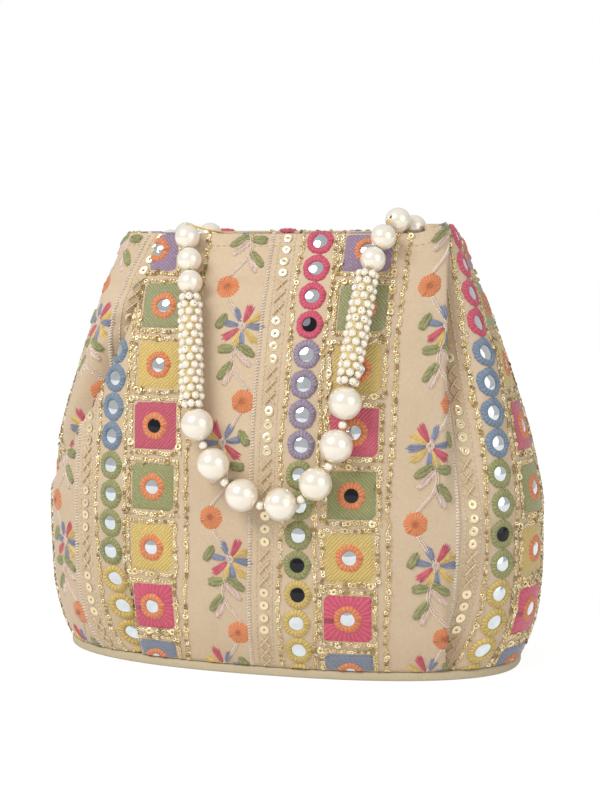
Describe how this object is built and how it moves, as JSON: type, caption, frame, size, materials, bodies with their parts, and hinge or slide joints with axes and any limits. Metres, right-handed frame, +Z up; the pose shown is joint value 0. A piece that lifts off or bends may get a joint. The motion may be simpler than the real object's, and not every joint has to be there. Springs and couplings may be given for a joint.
{
  "type": "potli bag",
  "caption": "Soft oval-based potli bag with a pleated open mouth, an inner lining, a stiff base and a strung pearl handle that lifts from its front.",
  "frame": {"origin": "centre of the flat underside of the base", "axes": "+X to the bag's right seen from the front, along the oval's long side; -Y to the front, where the pearl handle hangs; +Z up to the mouth"},
  "size_m": [0.2378, 0.1333, 0.2104],
  "materials": {
    "embroidered_cloth": "cream georgette over a stiff backing, with silk, sequin and mirror embroidery",
    "lining_cloth": "plain woven lining",
    "plain_cloth": "plain woven cloth",
    "grey_board": "uncoated stiff board",
    "brass": "polished light gold plate",
    "pearl": "ivory pearl lacquer on plastic beads",
    "yellow_thread": "yellow-gold nylon thread"
  },
  "bodies": {
    "bag": {"base_board": "grey_board", "base_cover": "plain_cloth", "handle_tab_left": "plain_cloth", "handle_tab_right": "plain_cloth", "lining": "lining_cloth", "outer_shell": "embroidered_cloth", "seam_ring_left": "brass", "seam_ring_right": "brass", "snap_socket": "brass", "snap_stud": "brass"},
    "handle_upper": {"mouth_pearl_left_1": "pearl", "mouth_pearl_left_2": "pearl", "mouth_pearl_left_3": "pearl", "mouth_pearl_left_4": "pearl", "mouth_pearl_right_1": "pearl", "mouth_pearl_right_2": "pearl", "mouth_pearl_right_3": "pearl", "string_left": "yellow_thread", "string_right": "yellow_thread"},
    "handle_loop": {"bead_rope_1": "pearl", "bead_rope_2": "pearl", "front_pearl_1": "pearl", "front_pearl_2": "pearl", "front_pearl_3": "pearl", "front_pearl_4": "pearl", "front_pearl_5": "pearl", "large_pearl_1": "pearl", "large_pearl_2": "pearl", "large_pearl_3": "pearl", "large_pearl_4": "pearl", "large_pearl_5": "pearl", "large_pearl_6": "pearl", "large_pearl_7": "pearl", "spacer_pearl_1": "pearl", "spacer_pearl_2": "pearl", "spacer_pearl_3": "pearl", "spacer_pearl_4": "pearl", "spacer_pearl_5": "pearl", "spacer_pearl_6": "pearl", "string_loop": "yellow_thread"}
  },
  "joints": [
    {"name": "handle_lift", "type": "hinge", "parent": "bag", "child": "handle_upper", "pos_m": [0, 0, 0.189], "axis": [-1, 0, 0], "range_deg": [0, 90]},
    {"name": "loop_fold", "type": "hinge", "parent": "handle_upper", "child": "handle_loop", "pos_m": [0, -0.03637, 0.1975], "axis": [-1, 0, 0], "range_deg": [0, 90]}
  ]
}
